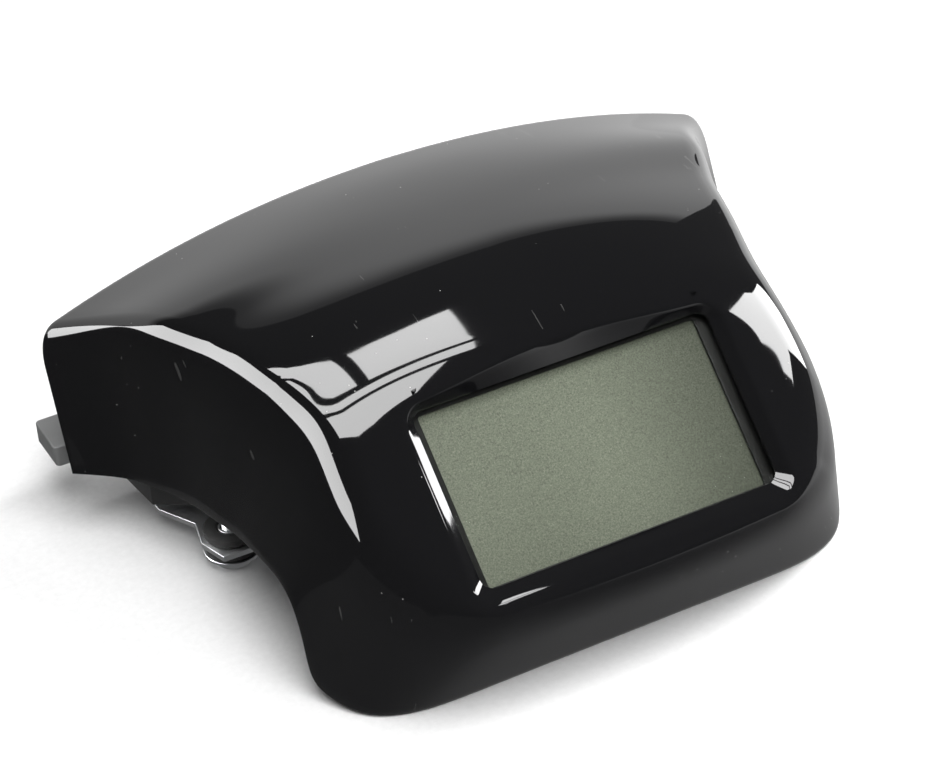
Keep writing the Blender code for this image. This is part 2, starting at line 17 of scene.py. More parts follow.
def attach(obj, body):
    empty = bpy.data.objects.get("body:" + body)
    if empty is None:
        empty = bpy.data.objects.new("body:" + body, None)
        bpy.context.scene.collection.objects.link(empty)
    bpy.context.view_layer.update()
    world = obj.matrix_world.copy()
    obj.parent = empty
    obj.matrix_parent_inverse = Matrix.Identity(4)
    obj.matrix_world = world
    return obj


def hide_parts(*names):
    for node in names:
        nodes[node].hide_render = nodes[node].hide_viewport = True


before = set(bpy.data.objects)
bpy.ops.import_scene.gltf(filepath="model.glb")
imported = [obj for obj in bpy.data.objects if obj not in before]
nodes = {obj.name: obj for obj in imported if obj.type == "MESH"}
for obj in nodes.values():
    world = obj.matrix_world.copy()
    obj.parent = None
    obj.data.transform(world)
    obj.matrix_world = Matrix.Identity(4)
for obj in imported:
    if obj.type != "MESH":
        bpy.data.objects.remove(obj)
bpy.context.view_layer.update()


# ---------------------------------------------------------------------------------------------
# Circuit board: 1.6 mm glass-fibre board under green solder resist, with etched copper tracks
# that show through as a paler green.  It drops into the front half of the case.
# ---------------------------------------------------------------------------------------------
class Value:
    """A shader socket that adds Math nodes when Python arithmetic is done on it."""

    def __init__(self, tree, socket):
        self.tree = tree
        self.socket = socket

    def node(self, kind, settings=None, *values, output=0, **named):
        """Add any node: its settings first, then the values or links of its sockets."""
        made = self.tree.nodes.new(kind)
        for key, setting in (settings or {}).items():
            if key == "stops":
                for _ in range(len(setting) - 2):
                    made.color_ramp.elements.new(0.5)
                for element, (where, colour) in zip(made.color_ramp.elements, setting):
                    element.position = where
                    element.color = colour
            else:
                setattr(made, key, setting)
        for key, value in list(enumerate(values)) + list(named.items()):
            socket = made.inputs[key.replace("_", " ") if isinstance(key, str) else key]
            if isinstance(value, Value):
                self.tree.links.new(value.socket, socket)
            elif value is not None:
                socket.default_value = value
        return Value(self.tree, made.outputs[output])

    def maths(self, operation, *values):
        return self.node("ShaderNodeMath", {"operation": operation}, *values)

    def __add__(self, other):
        return self.maths("ADD", self, other)

    __radd__ = __add__

    def __mul__(self, other):
        return self.maths("MULTIPLY", self, other)

    __rmul__ = __mul__

    def __sub__(self, other):
        return self.maths("SUBTRACT", self, other)

    def __rsub__(self, other):
        return self.maths("SUBTRACT", other, self)

    def above(self, limit):
        """1 where this value is over the limit, else 0."""
        return self.maths("GREATER_THAN", self, limit)

    def noise(self, scale, detail=2.0, roughness=0.5):
        """Cloudy noise read at this place."""
        return self.node("ShaderNodeTexNoise", None, self, Scale=scale, Detail=detail,
                         Roughness=roughness)

    def stretched(self, scale):
        """This place with its axes scaled, for grain that runs along a piece."""
        return self.node("ShaderNodeMapping", None, self, Scale=scale)

    def blend(self, low, high):
        """A colour between two, mixed by this value."""
        mixed = self.node("ShaderNodeMix", {"data_type": "RGBA"}, output=2, Factor=self)
        mixed.socket.node.inputs[6].default_value = (*low, 1)
        mixed.socket.node.inputs[7].default_value = (*high, 1)
        return mixed

    def bump(self, depth, strength=1.0):
        """A surface normal that follows this height, whose full depth is in metres."""
        return self.node("ShaderNodeBump", None, Strength=strength, Distance=depth, Height=self)

    def feed(self, shader, name):
        """Link this value into one of the shader's sockets."""
        self.tree.links.new(self.socket, shader.inputs[name])


def new_finish(name, colour, roughness, metallic=0.0):
    """A Principled material: itself, its shader, and its object coordinates as a Value."""
    made = bpy.data.materials.new(name)
    made.use_nodes = True
    shader = made.node_tree.nodes["Principled BSDF"]
    shader.inputs["Base Color"].default_value = (*colour, 1)
    shader.inputs["Roughness"].default_value = roughness
    shader.inputs["Metallic"].default_value = metallic
    place = made.node_tree.nodes.new("ShaderNodeTexCoord")
    return made, shader, Value(made.node_tree, place.outputs["Object"])


def add_piece(name, mesh, look, slot, *replaced):
    """Turn a bmesh in metres into a piece that rides on the cluster and replaces CAD nodes."""
    data = bpy.data.meshes.new(name)
    mesh.to_mesh(data)
    mesh.free()
    data.materials.append(look)
    data.shade_smooth()
    data.set_sharp_from_angle(angle=math.radians(38))
    thing = bpy.data.objects.new(name, data)
    bpy.context.scene.collection.objects.link(thing)
    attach(thing, "root")
    if replaced:
        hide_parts(*replaced)
    return thing


def rounded_twin(node, look, slot, radius, segments=2):
    """A finer copy of a CAD node, its hard edges rounded over as a mould leaves them."""
    mesh = bmesh.new()
    mesh.from_mesh(nodes[node].data)
    bmesh.ops.remove_doubles(mesh, verts=mesh.verts, dist=0.000005)
    bmesh.ops.dissolve_limit(mesh, angle_limit=math.radians(1.0), verts=mesh.verts,
                             edges=mesh.edges)
    hard = [e for e in mesh.edges
            if len(e.link_faces) == 2 and e.calc_face_angle() > math.radians(32)]
    bmesh.ops.bevel(mesh, geom=hard, offset=radius * 0.001, segments=segments, profile=0.5,
                    affect="EDGES", material=-1, clamp_overlap=True)
    return add_piece(node + "_rounded", mesh, look, slot, node)


def board_finish():
    made, shader, place = new_finish("solder_resist", (0.01, 0.09, 0.035), 0.32)
    lines = place.node("ShaderNodeTexBrick", {"offset": 0.35, "squash": 0.6, "squash_frequency": 3},
                       place, Scale=190.0, Mortar_Size=0.06, Mortar_Smooth=0.1, Bias=0.0,
                       Brick_Width=1.7, Row_Height=0.21, output=1)
    patches = place.noise(60.0, 1.0).above(0.52)
    tracks = lines * patches
    tracks.blend((0.008, 0.075, 0.03), (0.03, 0.19, 0.07)).feed(shader, "Base Color")
    (tracks + place.noise(900.0, 2.0) * 0.2).bump(0.00004).feed(shader, "Normal")
    return made


rounded_twin("circuit_board", board_finish(), "board", 0.15)


# ---------------------------------------------------------------------------------------------
# Chips, capacitors and backlight lamps: moulded epoxy packages, rolled aluminium cans and small
# white lamps, all soldered to the board.
# ---------------------------------------------------------------------------------------------
def chip_finish():
    made, shader, place = new_finish("chip_epoxy", (0.014, 0.014, 0.015), 0.5)
    grain = place.noise(2600.0, 3.0)
    grain.blend((0.011, 0.011, 0.012), (0.02, 0.02, 0.021)).feed(shader, "Base Color")
    (0.42 + grain * 0.18).feed(shader, "Roughness")
    grain.bump(0.00003).feed(shader, "Normal")
    return made


def can_finish():
    made, shader, place = new_finish("drawn_aluminium", (0.72, 0.73, 0.74), 0.3, 1.0)
    streaks = place.stretched((300.0, 300.0, 2500.0)).noise(1.0, 2.0)
    (0.22 + streaks * 0.2).feed(shader, "Roughness")
    streaks.blend((0.66, 0.67, 0.68), (0.8, 0.8, 0.81)).feed(shader, "Base Color")
    return made


def lamp_finish():
    made, shader, place = new_finish("lamp_white", (0.75, 0.75, 0.7), 0.35)
    glow = place.noise(700.0, 1.0)
    glow.blend((0.7, 0.7, 0.62), (0.82, 0.82, 0.79)).feed(shader, "Base Color")
    return made


epoxy = chip_finish()
for chip in ("processor", "display_driver", "voltage_regulator"):
    rounded_twin(chip, epoxy, "chip", 0.25)
aluminium = can_finish()
for number in (1, 2):
    rounded_twin(f"capacitor_{number}", aluminium, "can", 0.3)
lamp_white = lamp_finish()
for number in (1, 2, 3, 4):
    rounded_twin(f"backlight_led_{number}", lamp_white, "diffuser", 0.2)


# ---------------------------------------------------------------------------------------------
# Light guide, its holder and the contact strips: milky acrylic over a white moulded frame, and
# two strips of layered black rubber that join the board to the display glass.
# ---------------------------------------------------------------------------------------------
def diffuser_finish():
    made, shader, place = new_finish("milky_acrylic", (0.82, 0.82, 0.8), 0.4)
    cloud = place.noise(420.0, 2.0)
    cloud.blend((0.78, 0.78, 0.75), (0.86, 0.86, 0.85)).feed(shader, "Base Color")
    (0.32 + cloud * 0.15).feed(shader, "Roughness")
    return made


def rubber_finish():
    made, shader, place = new_finish("black_rubber", (0.018, 0.018, 0.018), 0.7)
    dust = place.noise(180.0, 4.0, 0.6)
    skin = place.noise(2200.0, 2.0)
    dust.blend((0.012, 0.012, 0.012), (0.034, 0.033, 0.032)).feed(shader, "Base Color")
    (0.6 + skin * 0.25).feed(shader, "Roughness")
    skin.bump(0.00005).feed(shader, "Normal")
    return made


milky = diffuser_finish()
rounded_twin("light_guide", milky, "diffuser", 0.3)
rounded_twin("light_guide_holder", milky, "diffuser", 0.3)
rubber = rubber_finish()
for strip in ("contact_strip_upper", "contact_strip_lower"):
    rounded_twin(strip, rubber, "rubber", 0.25)


# ---------------------------------------------------------------------------------------------
# Display glass: two panes with liquid crystal between them and a grey-green polariser whose
# fine grain scatters the light.  The printed mask over it leaves the viewing area open.  The
# polariser's colour is painted darker towards its right edge: painted shade of the recess wall.
# ---------------------------------------------------------------------------------------------
COVER_LEAN = 8.5
SCREEN_TILT = 33.3
SCREEN_HEIGHT = 67.0
MODULE_DROP = 4.5
ORIGIN_Y = 53.03
TABLE_DROP = 2.0

to_metres = Matrix.Scale(0.001, 4)
base_frame = to_metres @ Matrix.Translation((0, -ORIGIN_Y, -TABLE_DROP))
cover_frame = base_frame @ Matrix.Rotation(math.radians(COVER_LEAN), 4, "X")
screen_in_cover = (Matrix.Translation((0, 0, SCREEN_HEIGHT))
                   @ Matrix.Rotation(math.radians(SCREEN_TILT), 4, "X"))
module_frame = cover_frame @ screen_in_cover @ Matrix.Translation((0, 0, -MODULE_DROP))
# Where the painted shade on the display glass is darkest (x in metres), and the share of colour
# left there.
PAINTED_SHADE_TO = 0.052
PAINTED_SHADE_LEAST = 0.5


def polariser_finish():
    made, shader, place = new_finish("polariser", (0.2, 0.215, 0.17), 0.6)
    shader.inputs["Specular IOR Level"].default_value = 0.1
    grain = place.noise(2300.0, 3.0, 0.7)
    speckle = place.noise(5200.0, 1.0)
    shade = place.noise(14.0, 1.0)
    tint = place.noise(1700.0, 2.0, 0.6)
    tone = grain * 1.3 + tint * 0.6 + shade * 0.3 - 0.6
    across = place.node("ShaderNodeSeparateXYZ", None, place)
    # Painted shade: the colour is darkened to half towards the right edge, as the recess's right
    # wall shades the glass.
    painted_shade = across.node("ShaderNodeMapRange", {"interpolation_type": "SMOOTHSTEP"}, across, 0.0,
                         PAINTED_SHADE_TO, 1.0, PAINTED_SHADE_LEAST)
    own_colour = tone.blend((0.056, 0.062, 0.047), (0.29, 0.313, 0.25))
    painted_shade_colour = own_colour.node("ShaderNodeVectorMath", {"operation": "SCALE"}, own_colour, Scale=painted_shade)
    painted_shade_colour.feed(shader, "Base Color")
    grain.bump(0.00002, 0.4).feed(shader, "Normal")
    (0.5 + speckle * 0.2).feed(shader, "Roughness")
    return made


def mask_finish():
    made, shader, place = new_finish("printed_mask", (0.006, 0.006, 0.006), 0.5)
    ink = place.noise(1500.0, 2.0)
    ink.blend((0.004, 0.004, 0.004), (0.009, 0.009, 0.009)).feed(shader, "Base Color")
    (0.4 + ink * 0.2).feed(shader, "Roughness")
    return made


rounded_twin("lcd_glass", polariser_finish(), "lcd", 0.15)
rounded_twin("display_mask", mask_finish(), "mask", 0.15)


# ---------------------------------------------------------------------------------------------
# Clear lens: a 2 mm sheet of moulded acrylic with polished faces and softened edges.  It shows
# what is under it and mirrors the room a little, more so at a low angle.
# ---------------------------------------------------------------------------------------------
def lens_finish():
    made, shader, place = new_finish("clear_acrylic", (0.9, 0.92, 0.9), 0.02)
    tree = made.node_tree
    cloud = place.noise(260.0, 3.0)
    haze = cloud.maths("POWER", cloud, 3.0)
    (0.015 + haze * 0.12).feed(shader, "Roughness")
    shader.inputs["Metallic"].default_value = 1.0
    seen_through = place.node("ShaderNodeBsdfTransparent", None, (0.97, 0.975, 0.965, 1))
    edge_on = place.node("ShaderNodeFresnel", None, IOR=1.45)
    mixed = place.node("ShaderNodeMixShader", None, edge_on * 0.8, seen_through,
                       Value(tree, shader.outputs[0]))
    tree.links.new(mixed.socket, tree.nodes["Material Output"].inputs["Surface"])
    return made


rounded_twin("clear_lens", lens_finish(), "clear_window", 0.35, 3)


# ---------------------------------------------------------------------------------------------
# Module case: two black moulded halves with a rubber seal between them, held by four screws
# through the ears, and a soft vent plug pressed into the rear half.
# ---------------------------------------------------------------------------------------------
def matt_finish():
    made, shader, place = new_finish("spark_textured_black", (0.016, 0.016, 0.0165), 0.55)
    texture = place.noise(1700.0, 3.0, 0.6)
    wear = place.noise(45.0, 4.0, 0.55)
    wear.blend((0.012, 0.012, 0.0125), (0.024, 0.024, 0.025)).feed(shader, "Base Color")
    (0.48 + texture * 0.16).feed(shader, "Roughness")
    texture.bump(0.00006).feed(shader, "Normal")
    return made


matt_black = matt_finish()
rounded_twin("front_case", matt_black, "matt_housing", 0.35)
rounded_twin("rear_case", matt_black, "matt_housing", 0.5)
rounded_twin("case_seal", rubber, "rubber", 0.2)
rounded_twin("vent_plug", rubber, "rubber", 0.35)


def zinc_finish():
    made, shader, place = new_finish("zinc_plate", (0.66, 0.67, 0.68), 0.3, 1.0)
    bloom = place.noise(110.0, 5.0, 0.6)
    streaks = place.stretched((90.0, 1400.0, 1400.0)).noise(1.0, 3.0)
    bloom.blend((0.5, 0.51, 0.53), (0.76, 0.77, 0.77)).feed(shader, "Base Color")
    (0.2 + bloom * 0.15 + streaks * 0.15).feed(shader, "Roughness")
    streaks.bump(0.00001, 0.5).feed(shader, "Normal")
    return made


zinc = zinc_finish()


def turned_mesh(profile, steps):
    """Spin a closed or axis-to-axis profile of (radius, height) points round the z axis."""
    mesh = bmesh.new()
    ring = [mesh.verts.new((r, 0, z)) for r, z in profile]
    edges = [mesh.edges.new(pair) for pair in zip(ring, ring[1:])]
    if all(r > 0 for r, _ in profile):
        edges.append(mesh.edges.new((ring[-1], ring[0])))
    bmesh.ops.spin(mesh, geom=ring + edges, cent=(0, 0, 0), axis=(0, 0, 1), angle=math.tau,
                   steps=steps, use_merge=True, use_duplicate=False)
    bmesh.ops.remove_doubles(mesh, verts=mesh.verts, dist=0.0005)
    bmesh.ops.recalc_face_normals(mesh, faces=mesh.faces)
    return mesh


def hexed_screw(head, shank, length, recess, thread, steps=48):
    """A domed screw hanging under z = 0: hexagon recess in its head, rolled thread above."""
    radius, height = head
    deep = height * 0.6
    profile = [(0, -height + deep), (recess, -height + deep), (recess, -height + 0.15),
               (recess * 1.12, -height), (radius * 0.78, -height * 0.97),
               (radius * 0.95, -height * 0.72), (radius, -height * 0.4), (radius, -0.2),
               (radius - 0.2, 0), (shank, 0)]
    turns = int((length - 1.2) / thread)
    for k in range(turns):
        low = 0.6 + k * thread
        profile += [(shank, low), (shank * 0.84, low + thread * 0.5)]
    profile += [(shank, length - 0.6), (shank * 0.75, length), (0, length)]
    mesh = turned_mesh(profile, steps)
    for vert in mesh.verts:
        reach = vert.co.xy.length
        if vert.co.z < -height + deep + 0.01 and 0.01 < reach < recess * 1.2:
            turn = math.atan2(vert.co.y, vert.co.x) % math.radians(60) - math.radians(30)
            vert.co.xy *= math.cos(math.radians(30)) / math.cos(turn) * 1.08
    return mesh


def put(mesh, place, where):
    """Move a mesh drawn at the origin to its place in a millimetre frame, and into metres."""
    bmesh.ops.transform(mesh, matrix=place @ Matrix.Translation(where), verts=mesh.verts)
    return mesh


CASE_SCREW_AT = (59.5, 21.0, -18.6)
SMALL_HEAD = (3.4, 2.0)
number = 0
for side in (-1, 1):
    for end in (-1, 1):
        number += 1
        at = (side * CASE_SCREW_AT[0], end * CASE_SCREW_AT[1], CASE_SCREW_AT[2])
        screw = hexed_screw(SMALL_HEAD, 1.5, 10.5, 1.5, 0.7, 36)
        add_piece(f"case_screw_{number}_turned", put(screw, module_frame, at), zinc, "zinc",
                  f"case_screw_{number}")


# ---------------------------------------------------------------------------------------------
# Wiring socket: grey nylon shroud at the back of the module, a carrier in its floor and six
# tinned brass pins that run through to the board.
# ---------------------------------------------------------------------------------------------
def nylon_finish():
    made, shader, place = new_finish("grey_nylon", (0.13, 0.135, 0.135), 0.45)
    grain = place.noise(1300.0, 3.0)
    stain = place.noise(90.0, 3.0)
    stain.blend((0.11, 0.113, 0.113), (0.17, 0.173, 0.173)).feed(shader, "Base Color")
    (0.38 + grain * 0.14).feed(shader, "Roughness")
    grain.bump(0.00004).feed(shader, "Normal")
    return made


def brass_finish():
    made, shader, place = new_finish("tinned_brass", (0.78, 0.62, 0.32), 0.28, 1.0)
    tin = place.noise(800.0, 2.0)
    tin.blend((0.76, 0.6, 0.3), (0.82, 0.75, 0.6)).feed(shader, "Base Color")
    (0.2 + tin * 0.15).feed(shader, "Roughness")
    return made


nylon = nylon_finish()
rounded_twin("wiring_socket", nylon, "connector", 0.25)
rounded_twin("pin_carrier", nylon, "connector", 0.15)
brass = brass_finish()
for number in range(1, 7):
    rounded_twin(f"socket_pin_{number}", brass, "pin", 0.12)


# ---------------------------------------------------------------------------------------------
# Hood cover: one high-gloss black moulding, 2.4 mm thick, that arches over the module and hangs
# down to a chin in front.  Its skin runs from the screen's recess over a soft lip, across the
# crown, round the ridge and down the walls to the rim, and four posts inside take the screws.
# ---------------------------------------------------------------------------------------------
WALL = 2.4
RIDGE_REACH = 11.0
RIDGE_DROP = 19.0
REAR_TAPER = (0.2, 0.6)
LIP = 1.3
WINDOW_FOOT = (49.3, 27.8, 4.0)
WINDOW_MOUTH = (53.2, 31.5, 7.0)
MOUTH_DROP = 1.0
MOUTH_BOW = 4.0
FOOT_HEIGHT = 0.4
SKIRT_END = -0.8
COVER_SCREWS = [(66, 50), (60, 104)]
POST_RADIUS = 4.0
POST_BORE = 1.9
POST_FOOT = 18.6
POST_DRAWN = 20.0
POST_CHAMFER = 0.4
SETTLE_STEPS = 30
HOOD_REAR = 143.0
HOOD_FRONT = 31.0
HOOD_SHARE = 5 / 16
STATIONS = 192
RECESS_STEPS = 4
LIP_STEPS = 7
TOP_STEPS = 24
RIDGE_STEPS = 12
SIDE_STEPS = 10
RIM_LINE = [(121, 116, 10), (109, 106, 11.5), (103, 96, 14), (97.5, 82, 17.5), (94.5, 66, 22),
            (93, 55, 25.5), (92.5, 42, 29.5), (92, 27, 32.5), (92, 16, 30), (91.8, 9.5, 20),
            (91.5, 4.5, 10), (88.5, -2.5, 6), (81.5, -12, 5), (70, -17.5, 5), (55, -19, 5),
            (30, -19, 5), (0, -19, 5)]
RIDGE_LINE = [(120, 139.5), (107.5, 120.5), (100, 104), (93.5, 88), (87, 67), (83, 54), (80, 41),
              (78, 25), (77.5, 12), (77, 1), (75, -9), (70, -20), (62, -28), (52, -33.5),
              (41, -36), (24, -37.5), (0, -38)]
# y, height in the middle, height at the ridge, half width there, and how square the crown is
CROWN = [(-38, 49.0, 44.5, 76, 4.0), (-27, 54.5, 49.0, 76, 4.0), (-9, 66.0, 60.5, 77, 4.0),
         (10, 78.5, 71.5, 78, 4.0), (26, 90.0, 77.0, 79, 4.0), (42, 94.5, 79.5, 80, 3.4),
         (62, 95.0, 80.0, 85, 2.8), (85, 91.0, 75.5, 93, 2.4), (105, 86.0, 70.5, 101, 2.3),
         (125, 79.5, 59.5, 110, 2.2), (143, 72.0, 48.5, 121, 2.2)]


def smooth_line(points, count):
    """Natural cubic through the points, read at count even steps of the point number."""
    points = np.array(points, float)
    n = len(points)
    left = np.zeros((n, n))
    right = np.zeros((n, points.shape[1]))
    left[0, 0] = 1
    left[-1, -1] = 1
    for i in range(1, n - 1):
        left[i, i - 1:i + 2] = (1, 4, 1)
        right[i] = 6 * (points[i - 1] - 2 * points[i] + points[i + 1])
    bend = np.linalg.solve(left, right)
    result = []
    for where in np.linspace(0, n - 1, count):
        i = min(int(where), n - 2)
        b = where - i
        a = 1 - b
        result.append(a * points[i] + b * points[i + 1]
                      + ((a ** 3 - a) * bend[i] + (b ** 3 - b) * bend[i + 1]) / 6)
    return np.array(result)


crown = smooth_line(CROWN, 4001)


def crown_point(x, y):
    """The point of the hood's top surface over a place in plan."""
    middle, edge, width, power = (np.interp(y, crown[:, 0], crown[:, k]) for k in (1, 2, 3, 4))
    return Vector((x, y, middle - (middle - edge) * (abs(x) / width) ** power))


def window_line(part, half_x, half_y, radius, bow=0.0):
    """A point of a rounded window's left half; part runs 0 to 5 from the top middle down."""
    flat_x = half_x - radius
    flat_y = half_y - radius
    turn = math.radians(90 * (part % 1))
    if part < 1:
        return (-flat_x * part, half_y + bow * math.cos(math.radians(90 * part)) ** 2)
    if part < 2:
        return (-flat_x - radius * math.sin(turn), flat_y + radius * math.cos(turn))
    if part < 3:
        return (-half_x, flat_y - 2 * flat_y * (part - 2))
    if part < 4:
        return (-flat_x - radius * math.cos(turn), -flat_y - radius * math.sin(turn))
    return (-flat_x * (5 - part), -half_y)


def recess_row(part):
    """From the recess's skirt up its wall and over the lip, to the top surface."""
    foot = window_line(part, *WINDOW_FOOT)
    before = window_line(max(part - 0.01, 0), *WINDOW_MOUTH, MOUTH_BOW)
    x, y = window_line(part, *WINDOW_MOUTH, MOUTH_BOW)
    after = window_line(min(part + 0.01, 5), *WINDOW_MOUTH, MOUTH_BOW)
    mouth = screen_in_cover @ Vector((x, y - MOUTH_DROP, 5.0))
    mouth = crown_point(mouth.x, mouth.y)
    outward = Vector((after[1] - before[1], before[0] - after[0], 0))
    if part in (0, 5):
        outward.x = 0
    outward = (screen_in_cover.to_3x3() @ outward).xy.normalized()
    skirt = screen_in_cover @ Vector((*foot, SKIRT_END))
    low = screen_in_cover @ Vector((*foot, FOOT_HEIGHT))
    lip_top = crown_point(mouth.x + outward.x * LIP, mouth.y + outward.y * LIP)
    lip_low = mouth + (low - mouth).normalized() * LIP
    row = [skirt]
    row += [low.lerp(lip_low, n / RECESS_STEPS) for n in range(RECESS_STEPS)]
    for n in range(LIP_STEPS + 1):
        t = n / LIP_STEPS
        row.append(lip_low * (1 - t) ** 2 + mouth * 2 * t * (1 - t) + lip_top * t * t)
    return row


def hood_row(share, rim, ridge):
    """One row of the hood's skin, from the screen recess out over the ridge to the rim."""
    if share < HOOD_SHARE:
        y = HOOD_REAR + (HOOD_FRONT - HOOD_REAR) * share / HOOD_SHARE
        row = [crown_point(0, y)] * (2 + RECESS_STEPS + LIP_STEPS)
    else:
        row = recess_row(5 * (share - HOOD_SHARE) / (1 - HOOD_SHARE))
    start = row[-1]
    end = crown_point(-ridge[0], ridge[1])
    outward = (end - start).xy.normalized()
    tightness = min(1, REAR_TAPER[1] + (1 - REAR_TAPER[1]) * share / REAR_TAPER[0])
    reach = min(RIDGE_REACH * tightness, 0.8 * (end - start).xy.length)
    bend = crown_point(end.x - outward.x * reach, end.y - outward.y * reach)
    just_past = crown_point(bend.x + outward.x * 0.5, bend.y + outward.y * 0.5)
    bottom = Vector((-rim[0], rim[1], rim[2]))
    drop = (bottom - end).normalized()
    low = end + drop * min(RIDGE_DROP * tightness, 0.6 * (bottom - end).length)
    pull = bend + (just_past - bend).normalized() * (end - bend).length * 0.67
    push = low - drop * (low - end).length * 0.67
    for n in range(1, TOP_STEPS + 1):
        place = start.lerp(bend, n / TOP_STEPS)
        row.append(crown_point(place.x, place.y))
    for n in range(1, RIDGE_STEPS + 1):
        t = n / RIDGE_STEPS
        row.append(bend * (1 - t) ** 3 + pull * 3 * t * (1 - t) ** 2
                   + push * 3 * t * t * (1 - t) + low * t ** 3)
    row += [low.lerp(bottom, n / SIDE_STEPS) for n in range(1, SIDE_STEPS + 1)]
    return row


def hood_skin():
    """The left half of the outer skin: a flat grid pulled into shape row by row; hood_shell mirrors
    it.
    """
    rims = smooth_line(RIM_LINE, STATIONS + 1)
    ridges = smooth_line(RIDGE_LINE, STATIONS + 1)
    rows = [hood_row(k / STATIONS, rims[k], ridges[k]) for k in range(STATIONS + 1)]
    columns = len(rows[0]) - 1
    recess_columns = 1 + RECESS_STEPS + LIP_STEPS
    mesh = bmesh.new()
    column_layer = mesh.verts.layers.int.new("column")
    bmesh.ops.create_grid(mesh, x_segments=columns, y_segments=STATIONS, size=0.5)
    behind = set()
    for vert in mesh.verts:
        column = round((vert.co.x + 0.5) * columns)
        row = round((vert.co.y + 0.5) * STATIONS)
        vert[column_layer] = column
        vert.co = rows[row][column]
        if row < HOOD_SHARE * STATIONS and column < recess_columns:
            behind.add(vert)
    bmesh.ops.delete(mesh, geom=list(behind), context="VERTS")
    return mesh, column_layer


def boundary_loops(mesh):
    """The open edges of a mesh, gathered into separate loops."""
    left = {e for e in mesh.edges if e.is_boundary}
    loops = []
    while left:
        loop = [left.pop()]
        ends = list(loop[0].verts)
        while ends:
            vert = ends.pop()
            for edge in vert.link_edges:
                if edge in left:
                    left.remove(edge)
                    loop.append(edge)
                    ends.append(edge.other_vert(vert))
        loops.append(loop)
    return loops


def hood_shell():
    """The moulding: the outer skin, an inner skin WALL under it, and rounded open edges."""
    mesh, column = hood_skin()
    half = list(mesh.verts) + list(mesh.edges) + list(mesh.faces)
    bmesh.ops.mirror(mesh, geom=half, matrix=Matrix.Identity(4), axis="X", merge_dist=0.02)
    bmesh.ops.dissolve_degenerate(mesh, edges=mesh.edges, dist=0.005)
    bmesh.ops.recalc_face_normals(mesh, faces=mesh.faces)
    highest = max(mesh.faces, key=lambda face: face.calc_center_median().z)
    if highest.normal.z < 0:
        bmesh.ops.reverse_faces(mesh, faces=mesh.faces)
    mesh.normal_update()
    outer = list(mesh.faces)
    copied = bmesh.ops.duplicate(mesh, geom=outer)
    inner_faces = [g for g in copied["geom"] if isinstance(g, bmesh.types.BMFace)]
    inner_verts = [g for g in copied["geom"] if isinstance(g, bmesh.types.BMVert)]
    normals = {vert: vert.normal.copy() for vert in inner_verts}
    for vert, normal in normals.items():
        vert.co -= normal * WALL
    bmesh.ops.reverse_faces(mesh, faces=inner_faces)
    loops = boundary_loops(mesh)
    loops.sort(key=len)
    for pair in (loops[:2], loops[2:]):
        bmesh.ops.bridge_loops(mesh, edges=pair[0] + pair[1])
    rims = set(loops[2] + loops[3])
    bmesh.ops.bevel(mesh, geom=list(rims), offset=0.5, segments=2, profile=0.5, affect="EDGES",
                    material=-1, clamp_overlap=True)
    bmesh.ops.recalc_face_normals(mesh, faces=mesh.faces)
    return mesh


def hood_finish():
    made, shader, place = new_finish("gloss_black", (0.004, 0.004, 0.0045), 0.03)
    ripple = place.noise(55.0, 1.0)
    smears = place.stretched((1.0, 0.45, 1.0)).noise(34.0, 3.0, 0.6)
    cells = place.node("ShaderNodeTexVoronoi", {"feature": "F1"}, place, Scale=260.0)
    specks = cells.maths("LESS_THAN", cells, 0.045) * place.noise(30.0, 1.0).above(0.56)
    hairs = place.stretched((700.0, 26.0, 60.0)).noise(1.0, 1.0)
    scratches = hairs.above(0.735) * place.noise(38.0, 1.0).above(0.6)
    marks = specks + scratches * 0.12
    marks.blend((0.004, 0.004, 0.0045), (0.3, 0.3, 0.29)).feed(shader, "Base Color")
    (0.012 + smears * 0.05 + marks * 0.3).feed(shader, "Roughness")
    ripple.bump(0.00006, 0.35).feed(shader, "Normal")
    return made


def add_hood_posts(moulding):
    """Four bored posts stand upright inside the hood and end within its wall."""
    lean = Matrix.Rotation(math.radians(COVER_LEAN), 4, "X")
    for x, y in COVER_SCREWS:
        for side in (-1, 1):
            top = POST_FOOT + POST_DRAWN
            post = turned_mesh([(POST_BORE, POST_FOOT), (POST_BORE, top), (POST_RADIUS, top),
                                (POST_RADIUS, POST_FOOT + POST_CHAMFER),
                                (POST_RADIUS - POST_CHAMFER, POST_FOOT)], 40)
            bmesh.ops.translate(post, verts=post.verts, vec=(side * x, y, 0))
            for vert in post.verts:
                if vert.co.z > top - POST_DRAWN / 2:
                    for _ in range(SETTLE_STEPS):
                        inside = lean.inverted() @ vert.co
                        wall = crown_point(inside.x, inside.y).z - WALL / 2
                        vert.co.z += wall - inside.z
            bmesh.ops.transform(post, matrix=base_frame, verts=post.verts)
            data = bpy.data.meshes.new("post")
            post.to_mesh(data)
            moulding.from_mesh(data)
            post.free()
            bpy.data.meshes.remove(data)


shell = hood_shell()
bmesh.ops.transform(shell, matrix=cover_frame, verts=shell.verts)
add_hood_posts(shell)
gloss_black = hood_finish()
add_piece("hood_moulding", shell, gloss_black, "gloss_cover", "hood_cover")


# ---------------------------------------------------------------------------------------------
# Base: a shallow black moulded tray that closes the hood from below.  Four self-tapping screws
# go up through its floor into the hood's posts.
# ---------------------------------------------------------------------------------------------
BOLT_HEAD = (6.4, 4.0)
WASHER = (9.2, 1.5)
PLATE = 2.0
FLANGE = (8.6, 2.6)
NECK = 5.6
SLEEVE = (3.9, 3.1)
CLEAR = 0.3
BOLT_SHANK = 2.8
base_low = TABLE_DROP + BOLT_HEAD[1] + WASHER[1] + PLATE + 2 * FLANGE[1] + 4 * CLEAR

